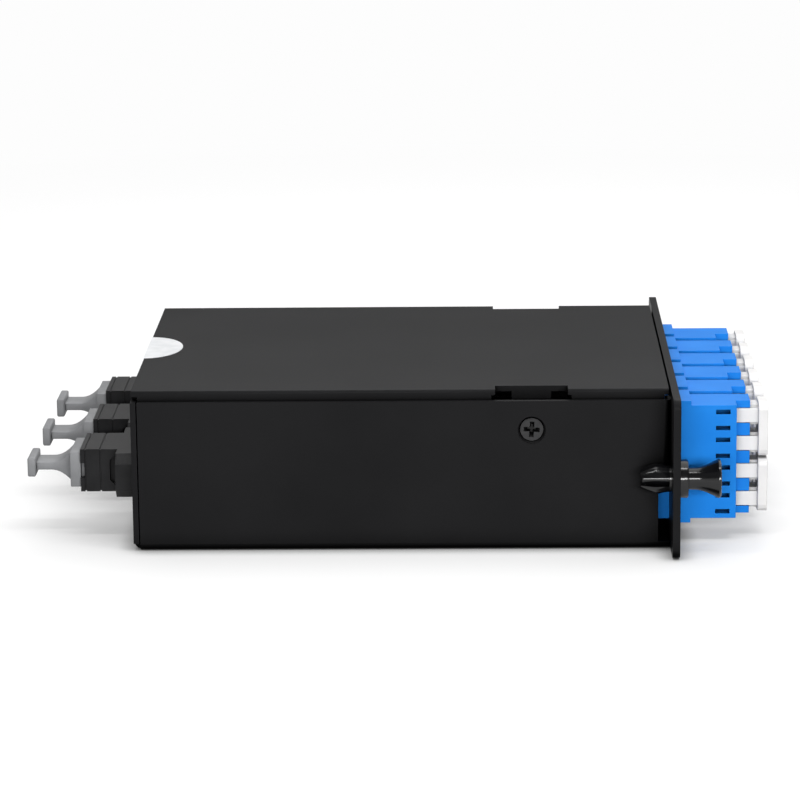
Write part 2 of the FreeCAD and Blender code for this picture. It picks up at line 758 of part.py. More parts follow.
def make_fibre_loom(index):
    """The fibres from one multi-fibre plug to the LC adapters that it serves."""
    per_plug = adapter_count // mpo_count
    served = adapter_places[index * per_plug:(index + 1) * per_plug]
    front = fanout_rear + fanout_length
    plug_tail = block_rear - inner_plug_behind_adapter - boot_length
    fibres = []
    for column, y in zip(centres(per_plug, fibre_column_pitch), served):
        for row, z in zip(centres(port_count, fibre_row_pitch), port_heights):
            start = Vector(front, mpo_places[index] + column, mpo_centre_height + row)
            fibres.append(make_fibre(start, Vector(plug_tail, y + port_axis, z)))
    return Part.makeCompound(fibres)


# Push-pull latch: a split grommet in the plate and a plunger through it

def on_axis(stations):
    """An even-sided solid on the X axis through (radius, x) stations."""
    return faceted([(radius, x, 0, 0) for radius, x in stations], latch_sides)


def make_grommet():
    """Grommet on the X axis: collar in front of the plate, split legs behind it."""
    collar_face = plate_front + latch_collar_thickness
    bore = plunger_core_radius + plunger_clearance
    tip = plate_back - latch_leg_length
    legs = on_axis([(latch_leg_tip_radius, tip),
                    (latch_leg_radius, plate_back - latch_leg_bulge),
                    (latch_neck_radius, plate_back), (latch_neck_radius, plate_front)])
    collar = on_axis([(latch_collar_radius, plate_front),
                      (latch_collar_radius, collar_face - latch_collar_edge),
                      (latch_collar_radius - latch_collar_edge, collar_face)])
    split = box(tip, plate_back - latch_split_from_plate, -latch_leg_radius, latch_leg_radius,
                -latch_split / 2, latch_split / 2)
    return joined([legs, collar]).cut([split, on_axis([(bore, tip), (bore, collar_face)])])


def make_plunger():
    """Plunger on the X axis: trumpet head, waist and a core between the legs."""
    collar_face = plate_front + latch_collar_thickness
    head_end = collar_face + plunger_length
    rim_start = head_end - plunger_rim
    waist_end = collar_face + plunger_waist_length
    core_end = plate_back - latch_leg_length + plunger_core_short
    flare_rise = plunger_head_radius - plunger_waist_radius
    head = [(plunger_waist_radius, collar_face)]
    for band in range(plunger_flare_bands + 1):
        part_way = band / plunger_flare_bands
        head.append((plunger_waist_radius + flare_rise * part_way ** plunger_flare_power,
                     waist_end + (rim_start - waist_end) * part_way))
    head.append((plunger_head_radius - plunger_crown, head_end))
    core = on_axis([(plunger_core_radius, core_end), (plunger_core_radius, collar_face)])
    return joined([core, on_axis(head)])


# Round seal over the rear edge of the cover

def make_label():
    """Two halves of an oval: one lies on the cover, one hangs down the rear wall."""
    top = cassette_height + label_thickness
    outer = rear_outer - label_thickness
    oval = [(rear_outer + label_half_length * math.cos(math.tau * k / label_sides),
             label_offset + label_half_width * math.sin(math.tau * k / label_sides))
            for k in range(label_sides)]
    flat = outline(oval, lambda u, v: Vector(u, v, cassette_height))
    disc = flat.extrude(Vector(0, 0, label_thickness))
    y0, y1 = label_offset - label_half_width, label_offset + label_half_width
    on_top = disc.common(box(rear_outer, 0, y0, y1, cassette_height, top))
    hanging = disc.common(box(2 * rear_outer, rear_outer, y0, y1, cassette_height, top))
    hanging.rotate(Vector(rear_outer, label_offset, cassette_height), Vector(0, 1, 0), -90)
    fold = box(outer, rear_outer, y0, y1, cassette_height, top)
    return joined([on_top, hanging, fold])


def add(name, shape):
    parts[name] = shape


add("base_tray", make_tray())
add("top_cover", make_cover())
add("front_plate", make_plate())
add("cover_screws", Part.makeCompound(both_sides(cover_screw())))
add("clinch_nuts", Part.makeCompound(both_sides(clinch_nut())))
add("round_label", make_label())

for index, y in enumerate(adapter_places, start=1):
    add(f"lc_adapter_{index}", moved(make_lc_adapter(), 0, y, 0))
    add(f"inner_lc_plugs_{index}",
        Part.makeCompound([make_inner_lc_plug(y, z) for z in port_heights]))
    for side, step in (("upper", 1), ("lower", -1)):
        height = adapter_centre_height + step * port_pitch
        add(f"lc_cap_{index}_{side}", moved(make_lc_cap(), 0, y, height))
add("alignment_sleeves",
    Part.makeCompound([make_sleeve(y, z) for y in adapter_places for z in port_heights]))

for index, y in enumerate(mpo_places, start=1):
    add(f"mpo_adapter_{index}", moved(make_mpo_adapter(), 0, y, mpo_centre_height))
    add(f"mpo_clip_{index}", moved(make_mpo_clip(), 0, y, mpo_centre_height))
    add(f"mpo_cap_{index}", moved(make_mpo_cap(), 0, y, mpo_centre_height))
    add(f"inner_mpo_plug_{index}", moved(make_inner_mpo_plug(), 0, y, mpo_centre_height))
    add(f"fanout_sleeve_{index}", moved(make_fanout_sleeve(), 0, y, mpo_centre_height))
    add(f"fibre_loom_{index}", make_fibre_loom(index - 1))

for side, y in (("left", -latch_spacing / 2), ("right", latch_spacing / 2)):
    add(f"latch_grommet_{side}", moved(make_grommet(), 0, y, latch_height))
    add(f"latch_plunger_{side}", moved(make_plunger(), 0, y, latch_height))

os.makedirs("parts", exist_ok=True)
for name, shape in parts.items():
    shape.exportStep(f"parts/{name}.step")
    box_now = shape.optimalBoundingBox()
    print(name, len(shape.Solids), shape.isValid(), round(shape.Volume, 1),
          [round(v, 2) for v in (box_now.XMin, box_now.XMax, box_now.YMin, box_now.YMax,
                                 box_now.ZMin, box_now.ZMax)])
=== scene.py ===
import math

import bmesh
import bpy
from mathutils import Matrix, Vector


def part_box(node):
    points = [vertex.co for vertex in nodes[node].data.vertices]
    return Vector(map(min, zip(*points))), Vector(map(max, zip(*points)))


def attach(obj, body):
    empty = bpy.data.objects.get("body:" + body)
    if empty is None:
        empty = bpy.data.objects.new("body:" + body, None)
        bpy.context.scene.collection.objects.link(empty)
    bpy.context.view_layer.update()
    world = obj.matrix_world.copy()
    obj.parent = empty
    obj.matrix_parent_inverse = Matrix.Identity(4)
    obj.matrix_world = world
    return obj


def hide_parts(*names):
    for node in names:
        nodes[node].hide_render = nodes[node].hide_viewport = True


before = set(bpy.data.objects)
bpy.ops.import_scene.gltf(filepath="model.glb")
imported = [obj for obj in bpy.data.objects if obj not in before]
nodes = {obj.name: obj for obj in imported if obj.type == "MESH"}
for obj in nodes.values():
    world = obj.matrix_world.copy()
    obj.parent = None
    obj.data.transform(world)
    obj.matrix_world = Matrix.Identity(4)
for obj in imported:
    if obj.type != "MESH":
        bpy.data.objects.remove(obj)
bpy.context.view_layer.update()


# Housing: tray, cover and front plate.
# Cold-rolled steel sheet, punched and folded, then coated with a fine black powder that
# bakes to a satin skin. The coat is thick enough to round the sheet's cut edges a little.

MM = 0.001


def linear(hex_colour, alpha=1.0):
    """Turns an sRGB hex value into the linear colour that a shader socket takes."""
    channels = [int(hex_colour[i:i + 2], 16) / 255 for i in (1, 3, 5)]
    return tuple(c / 12.92 if c <= 0.04045 else ((c + 0.055) / 1.055) ** 2.4
                 for c in channels) + (alpha,)


def add_node(material, kind, settings=(), links=()):
    """Adds a shader node, sets its sockets or properties and links its named inputs."""
    tree = material.node_tree
    node = tree.nodes.new(kind)
    for name, value in dict(settings).items():
        if name in node.inputs:
            node.inputs[name].default_value = value
        else:
            setattr(node, name, value)
    for name, source in dict(links).items():
        tree.links.new(source, node.inputs[name])
    return node


def new_material(name, slot_colour):
    """An empty node material with its Object coordinates."""
    material = bpy.data.materials.new(name)
    material.use_nodes = True
    material.diffuse_color = linear(slot_colour)
    material.node_tree.nodes.clear()
    place = add_node(material, "ShaderNodeTexCoord").outputs["Object"]
    return material, place


def finish_material(material, settings, links):
    """The Principled shader with these values and links, joined to the output."""
    shader = add_node(material, "ShaderNodeBsdfPrincipled", settings, links)
    add_node(material, "ShaderNodeOutputMaterial", links={"Surface": shader.outputs["BSDF"]})
    return material


def blotched(material, place, grain, dark, light, low=0.35, high=0.65):
    """A colour that wanders between two near shades over patches of the given size."""
    noise = add_node(material, "ShaderNodeTexNoise", {"Scale": 1 / grain, "Detail": 3.0},
                     {"Vector": place})
    ramp = add_node(material, "ShaderNodeValToRGB", links={"Fac": noise.outputs["Fac"]})
    ramp.color_ramp.elements[0].position = low
    ramp.color_ramp.elements[0].color = linear(dark)
    ramp.color_ramp.elements[1].position = high
    ramp.color_ramp.elements[1].color = linear(light)
    return ramp.outputs["Color"]


def shaded(material, colour, reach, darkest, clear=0.75, closed=0.1):
    """Paints shade into a colour in gaps and recesses no wider than the reach, where light is
    lost.
    """
    open_sky = add_node(material, "ShaderNodeAmbientOcclusion",
                        {"Distance": reach, "samples": 12}).outputs["AO"]
    ramp = add_node(material, "ShaderNodeValToRGB", links={"Fac": open_sky})
    ramp.color_ramp.elements[0].position = closed
    ramp.color_ramp.elements[0].color = (darkest, darkest, darkest, 1)
    ramp.color_ramp.elements[1].position = clear
    ramp.color_ramp.elements[1].color = (1, 1, 1, 1)
    both = add_node(material, "ShaderNodeMix",
                    {"data_type": "RGBA", "blend_type": "MULTIPLY"})
    both.inputs["Factor"].default_value = 1.0
    material.node_tree.links.new(colour, both.inputs[6])
    material.node_tree.links.new(ramp.outputs["Color"], both.inputs[7])
    return both.outputs[2]


def grained(material, place, grain, depth, detail=2.0):
    """A bump of fine noise: grain is the size of its bumps, depth their height."""
    noise = add_node(material, "ShaderNodeTexNoise", {"Scale": 1 / grain, "Detail": detail},
                     {"Vector": place})
    bump = add_node(material, "ShaderNodeBump", {"Distance": depth, "Strength": 1.0},
                    {"Height": noise.outputs["Fac"]})
    return bump.outputs["Normal"]


# Powder coat: satin black polyester powder. The grit melts into low bumps about half a
# millimetre apart, which scatter light into a soft sheen with no sharp reflection.
coat, place = new_material("satin_black_powder_coat", "#26262A")
powder_tone_and_shade = blotched(coat, place, 30 * MM, "#1B1B1C", "#1F1F20")
# Painted shade: the powder colour is darkened deep inside, as seen through the notch, and in
# the seams and the screws' sinks.
powder_tone_and_shade = shaded(coat, powder_tone_and_shade, 8 * MM, 0.03, 0.85, 0.3)      # inside, seen through the notch
powder_tone_and_shade = shaded(coat, powder_tone_and_shade, 1.2 * MM, 0.02, 0.78, 0.55)   # seams and the screws' sinks
finish_material(coat, {"Roughness": 0.4, "Specular IOR Level": 0.03},
                {"Base Color": powder_tone_and_shade,
                 "Normal": grained(coat, place, 0.5 * MM, 0.012 * MM)})


def dress(names, material):
    """Gives CAD nodes the material in every slot."""
    for name in names:
        for slot in nodes[name].material_slots:
            slot.material = material


double_gap = 0.001 * MM           # corners nearer than this are one corner
sharp_edge = math.radians(35)     # edges that turn more than this are softened
coat_rounding = 0.12 * MM


def soften_edges(name, width, segments=2):
    """Rounds a CAD node's sharp edges by the given width, as a coat or a mould does."""
    weld = nodes[name].modifiers.new("weld", "WELD")
    weld.merge_threshold = double_gap
    bevel = nodes[name].modifiers.new("bevel", "BEVEL")
    bevel.width = width
    bevel.segments = segments
    bevel.limit_method = "ANGLE"
    bevel.angle_limit = sharp_edge
    bevel.harden_normals = True


sheet_pieces = ["base_tray", "top_cover", "front_plate"]
dress(sheet_pieces, coat)
for name in sheet_pieces:
    soften_edges(name, coat_rounding)


# Cover screws and clinch nuts.
# Countersunk steel screws with a cross recess, blackened, one in each side wall.
# The plated nuts are pressed into the cover's tabs behind the walls.

blackened, place = new_material("blackened_steel", "#4A4A4C")
oxide = blotched(blackened, place, 1.2 * MM, "#2A2A2B", "#323233")
# Painted shade: the oxide colour is darkened in the cross recess and where the head sits in its
# sink.
finish_material(blackened, {"Roughness": 0.5, "Specular IOR Level": 0.2},
                {"Base Color": shaded(blackened, oxide, 2.5 * MM, 0.02, 0.95, 0.4),
                 "Normal": grained(blackened, place, 0.3 * MM, 0.006 * MM)})
plated, place = new_material("zinc_plated_steel", "#A9ABAE")
finish_material(plated, {"Roughness": 0.35, "Metallic": 1.0},
                {"Base Color": blotched(plated, place, 1.5 * MM, "#9EA0A4", "#B4B6B8"),
                 "Normal": grained(plated, place, 0.2 * MM, 0.004 * MM)})

screws_low, screws_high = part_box("cover_screws")
screw_x = (screws_low.x + screws_high.x) / 2
screw_z = (screws_low.z + screws_high.z) / 2
head_face = screws_high.y
head_radius = 2.5 * MM
head_rim = 0.3 * MM
shank_radius = 1.45 * MM
screw_length = 5.2 * MM
arm_reach = 1.75 * MM
arm_half = 0.5 * MM
recess_depth = 1.5 * MM
recess_taper = 0.5
cross_turn = math.radians(4)      # how far the screw stopped from upright
rim_sides = 48


def closed_line(shape, points):
    """A closed loop of edges through (x, z) points, in the plane of the head's face."""
    verts = [shape.verts.new((x, 0, z)) for x, z in points]
    return [shape.edges.new((verts[i - 1], verts[i])) for i in range(len(verts))]


def sunk(shape, edges, depth, scale, centre=(0, 0, 0)):
    """Walls from a loop of edges down into the head, drawn in by a scale."""
    walls = bmesh.ops.extrude_edge_only(shape, edges=edges)["geom"]
    verts = [v for v in walls if isinstance(v, bmesh.types.BMVert)]
    bmesh.ops.scale(shape, vec=(scale, 1, scale), verts=verts)
    bmesh.ops.translate(shape, vec=(0, depth, 0), verts=verts)
    return [e for e in walls if isinstance(e, bmesh.types.BMEdge)]


def screw_head():
    """A head that faces -Y about the origin: its rim, its cross recess and its shank."""
    shape = bmesh.new()
    arm, half = arm_reach, arm_half
    cross = closed_line(shape, [(-half, arm), (half, arm), (half, half), (arm, half),
                                (arm, -half), (half, -half), (half, -arm), (-half, -arm),
                                (-half, -half), (-arm, -half), (-arm, half), (-half, half)])
    turns = [math.tau * k / rim_sides for k in range(rim_sides)]
    rim = closed_line(shape, [(head_radius * math.cos(a), head_radius * math.sin(a))
                              for a in turns])
    bmesh.ops.triangle_fill(shape, use_beauty=True, edges=cross + rim)
    floor_edges = sunk(shape, cross, recess_depth, recess_taper)
    bmesh.ops.triangle_fill(shape, use_beauty=True, edges=floor_edges)
    edge = sunk(shape, rim, head_rim, 1.0)
    cone_depth = head_radius - shank_radius
    cone = sunk(shape, edge, cone_depth, shank_radius / head_radius)
    end = sunk(shape, cone, screw_length - head_rim - cone_depth, 1.0)
    bmesh.ops.triangle_fill(shape, use_beauty=True, edges=end)
    bmesh.ops.rotate(shape, verts=shape.verts, matrix=Matrix.Rotation(cross_turn, 3, "Y"))
    bmesh.ops.recalc_face_normals(shape, faces=shape.faces)
    return shape


def piece(name, shapes, material, body, replaced=(), smooth_angle=40):
    """One object from finished bmeshes, dressed and carried by a body."""
    mesh = bpy.data.meshes.new(name)
    whole = bmesh.new()
    for shape in shapes:
        part_mesh = bpy.data.meshes.new(name + "_part")
        shape.to_mesh(part_mesh)
        shape.free()
        whole.from_mesh(part_mesh)
        bpy.data.meshes.remove(part_mesh)
    whole.to_mesh(mesh)
    whole.free()
    mesh.materials.append(material)
    mesh.shade_smooth()
    mesh.set_sharp_from_angle(angle=math.radians(smooth_angle))
    thing = bpy.data.objects.new(name, mesh)
    bpy.context.scene.collection.objects.link(thing)
    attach(thing, body)
    if replaced:
        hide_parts(*replaced)
    return thing


heads = []
for side in (-1, 1):
    head = screw_head()
    if side > 0:
        bmesh.ops.rotate(head, verts=head.verts, matrix=Matrix.Rotation(math.pi, 3, "Z"))
    bmesh.ops.translate(head, verts=head.verts, vec=(screw_x, side * head_face, screw_z))
    heads.append(head)
piece("countersunk_screws", heads, blackened, "housing", ["cover_screws"])
dress(["clinch_nuts"] + [f"mpo_clip_{i}" for i in (1, 2, 3)], plated)


# LC adapters.
# Moulded blue thermoplastic blocks of four ports, snapped into the plate's windows.
# The mould leaves a smooth, lightly glossy skin and small rounded edges.

blue, place = new_material("moulded_blue_plastic", "#1888F0")
resin = blotched(blue, place, 8 * MM, "#1B7EDC", "#2084E2")
# Painted shade: the resin colour is darkened in the catch windows, the ports and the narrow
# gaps between blocks.
finish_material(blue, {"Roughness": 0.4, "Specular IOR Level": 0.06},
                {"Base Color": shaded(blue, resin, 5 * MM, 0.02, 0.6),
                 "Normal": grained(blue, place, 0.4 * MM, 0.003 * MM)})
moulded_rounding = 0.12 * MM
adapters = [f"lc_adapter_{i}" for i in range(1, 7)]
dress(adapters, blue)
for name in adapters:
    soften_edges(name, moulded_rounding)


# LC dust caps.
# Duplex caps moulded in soft white plastic, each pushed into two ports.

white, place = new_material("moulded_white_plastic", "#F2F2F0")
resin = blotched(white, place, 5 * MM, "#E2E1E0", "#E9E8E7")
# Painted shade: the resin colour is darkened in the gaps between the caps' plugs and in the
# ports.
finish_material(white, {"Roughness": 0.4, "Specular IOR Level": 0.35},
                {"Base Color": shaded(white, resin, 4 * MM, 0.35, 0.9),
                 "Normal": grained(white, place, 0.4 * MM, 0.004 * MM)})
cap_rounding = 0.25 * MM
lc_caps = [f"lc_cap_{i}_{side}" for i in range(1, 7) for side in ("upper", "lower")]
dress(lc_caps, white)
for name in lc_caps:
    soften_edges(name, cap_rounding)


# Multi-fibre adapters.
# Black moulded bodies through the rear wall, their flanges flat against it.

black, place = new_material("moulded_black_plastic", "#19191A")
resin = blotched(black, place, 6 * MM, "#1C1C1D", "#242425")
# Painted shade: the resin colour is darkened in recesses and narrow gaps.
finish_material(black, {"Roughness": 0.32, "Specular IOR Level": 0.1},
                {"Base Color": shaded(black, resin, 5 * MM, 0.1),
                 "Normal": grained(black, place, 0.35 * MM, 0.008 * MM)})
body_rounding = 0.15 * MM
mpo_adapters = [f"mpo_adapter_{i}" for i in (1, 2, 3)]
inner_plugs = ([f"inner_lc_plugs_{i}" for i in range(1, 7)]
               + [f"inner_mpo_plug_{i}" for i in (1, 2, 3)])
dress(mpo_adapters + inner_plugs + [f"fanout_sleeve_{i}" for i in (1, 2, 3)], black)
for name in mpo_adapters:
    soften_edges(name, body_rounding)


# Dust caps of the multi-fibre adapters.
# Pale grey soft plastic: a plug, a rim, and a flat grip that ends in a bar.

grey, place = new_material("moulded_grey_plastic", "#8E8F91")
resin = blotched(grey, place, 5 * MM, "#808183", "#8A8B8D")
# Painted shade: the resin colour is darkened in narrow gaps, such as between the rim, the grip
# and the adapter.
finish_material(grey, {"Roughness": 0.5, "Specular IOR Level": 0.15},
                {"Base Color": shaded(grey, resin, 1.5 * MM, 0.3),
                 "Normal": grained(grey, place, 0.4 * MM, 0.006 * MM)})
cap_low, cap_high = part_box("mpo_cap_1")
cap_size = cap_high - cap_low
cap_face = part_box("mpo_adapter_1")[0].x        # the rim rests against the adapter's end
rim_size = (2.35 * MM, cap_size.y, cap_size.z)
plug_size = (cap_high.x - cap_face, 12.2 * MM, 6.7 * MM)
bar_size = (1.8 * MM, 9.85 * MM, 4.25 * MM)
grip_width = 7.3 * MM
grip_length = cap_face - rim_size[0] - bar_size[0] - cap_low.x
flare_height = rim_size[2] - 0.8 * MM
flare_length = 4.6 * MM
flare_power = 2.1                 # how hollow the flare's line is
flare_steps = 9
grip_thickness = 1.65 * MM
grip_rounding = 0.25 * MM
grip_overlap = 0.3 * MM           # how far the grip runs into the rim
rim_rounding = 0.2 * MM
plug_rounding = 0.3 * MM
bar_rounding = 0.4 * MM


def block(size, centre, rounding, segments=3):
    """A box with every edge rounded."""
    shape = bmesh.new()
    bmesh.ops.create_cube(shape, size=1.0)
    bmesh.ops.scale(shape, vec=size, verts=shape.verts)
    bmesh.ops.bevel(shape, geom=shape.edges, offset=rounding, offset_type="OFFSET",
                    segments=segments, profile=0.5, affect="EDGES", material=-1)
    bmesh.ops.translate(shape, vec=centre, verts=shape.verts)
    return shape


def cap_grip():
    """The grip's outline seen from the side, its hollow flare drawn out in width."""
    shape = bmesh.new()
    rear = cap_face - rim_size[0]
    upper = [(rear + grip_overlap, flare_height / 2)]
    for step in range(flare_steps + 1):
        part_way = step / flare_steps
        rise = (flare_height - grip_thickness) / 2 * (1 - part_way) ** flare_power
        upper.append((rear - flare_length * part_way, grip_thickness / 2 + rise))
    upper.append((rear - grip_length, grip_thickness / 2))
    outline = upper + [(x, -z) for x, z in reversed(upper)]
    face = shape.faces.new([shape.verts.new((x, -grip_width / 2, z)) for x, z in outline])
    drawn = bmesh.ops.extrude_face_region(shape, geom=[face])["geom"]
    bmesh.ops.translate(shape, vec=(0, grip_width, 0),
                        verts=[v for v in drawn if isinstance(v, bmesh.types.BMVert)])
    sides = [e for e in shape.edges if abs(e.verts[0].co.y - e.verts[1].co.y) < 0.01 * MM]
    bmesh.ops.bevel(shape, geom=sides, offset=grip_rounding, offset_type="OFFSET", segments=2,
                    profile=0.5, affect="EDGES", material=-1)
    bmesh.ops.recalc_face_normals(shape, faces=shape.faces)
    return shape


for index in (1, 2, 3):
    rim_centre = (cap_face - rim_size[0] / 2, 0, 0)
    plug_centre = (cap_face + plug_size[0] / 2, 0, 0)
    bar_centre = (cap_face - rim_size[0] - grip_length - bar_size[0] / 2, 0, 0)
    shapes = [block(rim_size, rim_centre, rim_rounding, 2),
              block(plug_size, plug_centre, plug_rounding),
              cap_grip(), block(bar_size, bar_centre, bar_rounding)]
    low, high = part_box(f"mpo_cap_{index}")
    for shape in shapes:
        bmesh.ops.translate(shape, verts=shape.verts,
                            vec=(0, (low.y + high.y) / 2, (low.z + high.z) / 2))
    cap = piece(f"mpo_dust_cap_{index}", shapes, grey, f"mpo_cap_{index}",
                [f"mpo_cap_{index}"])


# Fibre looms and alignment sleeves.
# Dark jacketed fibres from the rear plugs to the front ones, and the polished ceramic
# sleeves that line their ends up. All of it is closed in by the housing.

ceramic, place = new_material("polished_ceramic", "#F1EEE6")
finish_material(ceramic, {"Roughness": 0.15},
                {"Base Color": blotched(ceramic, place, 1 * MM, "#EFEBE2", "#F5F2EA")})
jacket, place = new_material("dark_fibre_jacket", "#1D1D1F")
finish_material(jacket, {"Roughness": 0.5},
                {"Base Color": blotched(jacket, place, 4 * MM, "#19191B", "#222224"),
                 "Normal": grained(jacket, place, 0.3 * MM, 0.01 * MM)})
dress(["alignment_sleeves"], ceramic)
dress([f"fibre_loom_{i}" for i in (1, 2, 3)], jacket)


# Push-pull latches.
# Glossy black nylon: a split grommet in each ear and a trumpet-headed plunger through it.

nylon, place = new_material("glossy_black_nylon", "#0C0C0E")
finish_material(nylon, {"Roughness": 0.16, "Specular IOR Level": 0.45},
                {"Base Color": blotched(nylon, place, 4 * MM, "#080809", "#0E0E10"),
                 "Normal": grained(nylon, place, 0.8 * MM, 0.002 * MM)})

grommet_low, grommet_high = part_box("latch_grommet_right")
plate_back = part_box("front_plate")[0].x
plate_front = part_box("front_plate")[1].x
latch_y = (grommet_low.y + grommet_high.y) / 2
latch_z = (grommet_low.z + grommet_high.z) / 2
collar_face = grommet_high.x
collar_radius = 4.2 * MM
neck_radius = 2.85 * MM
leg_radius = 3.3 * MM
leg_bulge = plate_back - 3.65 * MM
leg_tip = grommet_low.x
leg_tip_radius = 2.15 * MM
bore_radius = 1.46 * MM
split_half = 1.1 * MM
split_end = plate_back - 0.6 * MM
core_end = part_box("latch_plunger_right")[0].x
core_radius = 1.4 * MM
waist_radius = 2.45 * MM
waist_end = collar_face + 1.5 * MM
head_radius_out = 4.3 * MM
head_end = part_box("latch_plunger_right")[1].x
turned_sides = 56
bulge_half = 0.4 * MM             # half the length of the legs' widest part
tip_edge = 0.15 * MM
collar_edge = 0.35 * MM
plunger_edge = 0.1 * MM
core_edge = 0.2 * MM
trumpet_power = 1.6               # how hollow the trumpet's line is
trumpet_steps = 10
trumpet_rim = 0.55 * MM           # length of the rim after the trumpet


def spun(points, closed):
    """Turns an (x, radius) line about the X axis."""
    shape = bmesh.new()
    verts = [shape.verts.new((x, 0, r)) for x, r in points]
    pairs = list(zip(verts, verts[1:])) + ([(verts[-1], verts[0])] if closed else [])
    edges = [shape.edges.new(pair) for pair in pairs]
    bmesh.ops.spin(shape, geom=verts + edges, cent=(0, 0, 0), axis=(1, 0, 0),
                   angle=math.tau, steps=turned_sides, use_merge=True)
    bmesh.ops.remove_doubles(shape, verts=shape.verts, dist=0.0005 * MM)
    bmesh.ops.recalc_face_normals(shape, faces=shape.faces)
    return shape


def leg(side):
    """One of the grommet's two legs: a turned sleeve cut off above the split."""
    shape = spun([(split_end, bore_radius), (split_end, neck_radius),
                  (leg_bulge + bulge_half, leg_radius - 0.02 * MM), (leg_bulge, leg_radius),
                  (leg_bulge - bulge_half, leg_radius - 0.12 * MM),
                  (leg_tip + 0.2 * MM, leg_tip_radius), (leg_tip, leg_tip_radius - tip_edge),
                  (leg_tip, bore_radius)], True)
    cut = bmesh.ops.bisect_plane(shape, geom=shape.verts[:] + shape.edges[:] + shape.faces[:],
                                 dist=0.0001 * MM, plane_co=(0, 0, side * split_half),
                                 plane_no=(0, 0, -side), clear_outer=True)
    rim = [e for e in cut["geom_cut"] if isinstance(e, bmesh.types.BMEdge)]
    bmesh.ops.triangle_fill(shape, use_beauty=True, edges=rim)
    bmesh.ops.recalc_face_normals(shape, faces=shape.faces)
    return shape


def collar():
    """The grommet's collar on the plate, with a rounded rim, and its neck in the hole."""
    edge = collar_edge
    return spun([(plate_front, bore_radius), (split_end, bore_radius), (split_end, neck_radius),
                 (plate_front, neck_radius), (plate_front, collar_radius - 0.1 * MM),
                 (plate_front + 0.1 * MM, collar_radius), (collar_face - edge, collar_radius),
                 (collar_face - edge * 0.3, collar_radius - edge * 0.3),
                 (collar_face, collar_radius - edge), (collar_face, bore_radius)], True)


def plunger():
    """The plunger's line: core, waist, an even flare and a rounded rim."""
    flare = []
    for step in range(trumpet_steps + 1):
        part_way = step / trumpet_steps
        flare.append((waist_end + (head_end - trumpet_rim - waist_end) * part_way,
                      waist_radius
                      + (head_radius_out - waist_radius) * part_way ** trumpet_power))
    rim = [(head_end - 0.2 * MM, head_radius_out - 0.02 * MM),
           (head_end, head_radius_out - 0.3 * MM),
           (head_end - 0.1 * MM, head_radius_out - 0.9 * MM), (head_end - 0.1 * MM, 0)]
    return spun([(core_end, 0), (core_end, core_radius - core_edge),
                 (core_end + core_edge, core_radius), (collar_face, core_radius),
                 (collar_face, waist_radius - plunger_edge),
                 (collar_face + plunger_edge, waist_radius)]
                + flare + rim, False)


for side, name in ((-1, "left"), (1, "right")):
    for shapes, part, body in (([collar(), leg(1), leg(-1)], "grommet", "housing"),
                               ([plunger()], "plunger", f"latch_plunger_{name}")):
        for shape in shapes:
            bmesh.ops.translate(shape, verts=shape.verts, vec=(0, side * latch_y, latch_z))
        thing = piece(f"push_pull_{part}_{name}", shapes, nylon, body,
                      [f"latch_{part}_{name}"], 30)


# Round seal folded over the rear edge of the cover.
# Thin silver film with a satin face, stuck half on the cover and half on the rear wall.

foil, place = new_material("silver_film", "#E4E6E8")
finish_material(foil, {"Roughness": 0.32, "Metallic": 0.2, "Specular IOR Level": 0.3},
                {"Base Color": blotched(foil, place, 3 * MM, "#E0E2E4", "#EDEEF0"),
                 "Normal": grained(foil, place, 0.6 * MM, 0.004 * MM)})
dress(["round_label"], foil)


# Studio: white paper that keeps the soft shadow and curves up far behind, an overhead
# softbox, strips near the camera and a pale surround.

floor_flat = 3000 * MM            # the paper lies flat this far out, then curves up
floor_sweep = 400 * MM            # radius of that curve
floor_top = 520 * MM              # height of the paper's upper edge
sweep_steps = 12
floor_steps = 96
contact_reach = 5.2 * MM          # how far from the housing its contact shadow shows
softness = 0.35                   # share of plain white that thins the shadow out
fade_start = 180 * MM             # where the lit paper starts to fade to plain white
fade_end = 500 * MM
mesh = bpy.data.meshes.new("studio_floor")
shape = bmesh.new()
profile = [(0, 0), (floor_flat, 0)]
for step in range(1, sweep_steps + 1):
    turn = math.pi / 2 * step / sweep_steps
    profile.append((floor_flat + floor_sweep * math.sin(turn),
                    floor_sweep * (1 - math.cos(turn))))
profile.append((floor_flat + floor_sweep, floor_top))
verts = [shape.verts.new((x, 0, z)) for x, z in profile]
edges = [shape.edges.new(pair) for pair in zip(verts, verts[1:])]
bmesh.ops.spin(shape, geom=verts + edges, cent=(0, 0, 0), axis=(0, 0, 1),
               angle=math.tau, steps=floor_steps, use_merge=True)
bmesh.ops.remove_doubles(shape, verts=shape.verts, dist=0.01 * MM)
shape.to_mesh(mesh)
shape.free()
floor = bpy.data.objects.new("studio_floor", mesh)
bpy.context.scene.collection.objects.link(floor)

paper = bpy.data.materials.new("white_floor_paper")
paper.use_nodes = True
paper.node_tree.nodes.clear()


def background_rays(material):
    """1 for the rays that show the background: the camera's, and those in gloss or glass."""
    path = add_node(material, "ShaderNodeLightPath").outputs
    either = add_node(material, "ShaderNodeMath", {"operation": "MAXIMUM"},
                      {0: path["Is Camera Ray"], 1: path["Is Glossy Ray"]})
    return add_node(material, "ShaderNodeMath", {"operation": "MAXIMUM"},
                    {0: either.outputs[0], 1: path["Is Transmission Ray"]}).outputs[0]


dim = add_node(paper, "ShaderNodeBsdfDiffuse", {"Color": linear("#808080")})
sheet = add_node(paper, "ShaderNodeRGB")
sheet.outputs[0].default_value = linear("#FDFDFD")
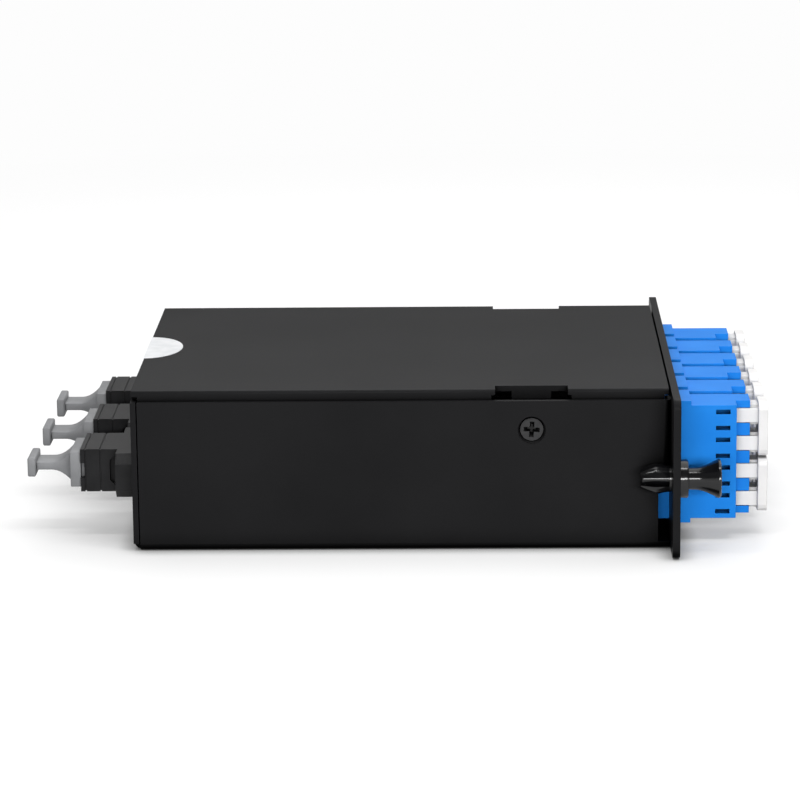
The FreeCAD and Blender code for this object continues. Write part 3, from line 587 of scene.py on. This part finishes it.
# Painted contact shadow: the paper's white is darkened close to the housing, in both its lit
# share and its plain glowing share.
paper_with_painted_shadow = shaded(paper, sheet.outputs[0], contact_reach, 0.05, 0.95)
lit = add_node(paper, "ShaderNodeBsdfDiffuse", links={"Color": paper_with_painted_shadow})
plain = add_node(paper, "ShaderNodeEmission", {"Strength": 1.0}, {"Color": paper_with_painted_shadow})
place = add_node(paper, "ShaderNodeTexCoord").outputs["Object"]
spread = add_node(paper, "ShaderNodeMapping", {"Scale": (1 / fade_end,) * 3}, {"Vector": place})
nearness = add_node(paper, "ShaderNodeTexGradient", {"gradient_type": "SPHERICAL"},
                    {"Vector": spread.outputs[0]})
fade = add_node(paper, "ShaderNodeMapRange",
                {"From Min": 0.0, "From Max": 1 - fade_start / fade_end,
                 "To Min": 1.0, "To Max": softness}, {"Value": nearness.outputs["Fac"]})
shown = add_node(paper, "ShaderNodeMixShader",
                 links={0: fade.outputs[0], 1: lit.outputs[0], 2: plain.outputs[0]})
seen = add_node(paper, "ShaderNodeMixShader",
                links={0: background_rays(paper), 1: dim.outputs[0], 2: shown.outputs[0]})
add_node(paper, "ShaderNodeOutputMaterial", links={"Surface": seen.outputs[0]})
mesh.materials.append(paper)


def softbox(name, size_x, size_y, watts, place, target):
    """A rectangular lamp at a place in millimetres, turned towards a target."""
    lamp = bpy.data.lights.new(name, "AREA")
    lamp.shape = "RECTANGLE"
    lamp.size = size_x * MM
    lamp.size_y = size_y * MM
    lamp.energy = watts
    holder = bpy.data.objects.new(name, lamp)
    holder.visible_camera = False
    bpy.context.scene.collection.objects.link(holder)
    stand = Vector(place) * MM
    aim = Vector(target) * MM - stand
    turned = aim.to_track_quat("-Z", "Y").to_matrix().to_4x4()
    holder.matrix_world = Matrix.Translation(stand) @ turned


softbox("overhead_softbox", 1800, 1500, 13.3, (250, 450, 1150), (0, 200, 0))
softbox("rear_strip", 500, 120, 0.6, (0, 380, 300), (0, 0, 20))
softbox("camera_strip", 900, 80, 9.2, (100, -1000, 220), (0, 0, 20))
softbox("near_strip", 420, 20, 0.45, (0, -125, 320), (0, -45, 20))

world = bpy.data.worlds.new("pale_studio")
bpy.context.scene.world = world
world.use_nodes = True
world.node_tree.nodes.clear()
surround_strength = 0.15
around = add_node(world, "ShaderNodeBackground",
                  {"Color": linear("#FFFFFF"), "Strength": surround_strength})
add_node(world, "ShaderNodeOutputWorld", links={"Surface": around.outputs[0]})


# Camera: a long lens, a little above the housing and square on to its left side.

camera_focal = 3498.385           # pixels, in a frame 800 pixels wide
frame_width = 800.0
sensor = 36.0
camera_distance = 802.203
camera_target = (-1.078, 0, 22.636)
camera_elevation = 0.2343
camera_yaw = 0.0233
camera_roll = -0.0109

back = Vector((math.sin(camera_yaw) * math.cos(camera_elevation),
               -math.cos(camera_yaw) * math.cos(camera_elevation),
               math.sin(camera_elevation)))
right = Vector((0, 0, 1)).cross(back).normalized()
up = back.cross(right)
turned_right = math.cos(camera_roll) * right + math.sin(camera_roll) * up
turned_up = math.cos(camera_roll) * up - math.sin(camera_roll) * right
lens = bpy.data.cameras.new("photo_camera")
lens.sensor_width = sensor
lens.lens = camera_focal / frame_width * sensor
lens.clip_start = 10 * MM
camera = bpy.data.objects.new("photo_camera", lens)
bpy.context.scene.collection.objects.link(camera)
pose = Matrix((turned_right, turned_up, back)).transposed().to_4x4()
pose.translation = (Vector(camera_target) + back * camera_distance) * MM
camera.matrix_world = pose
bpy.context.scene.camera = camera
bpy.context.scene.view_settings.view_transform = "Standard"
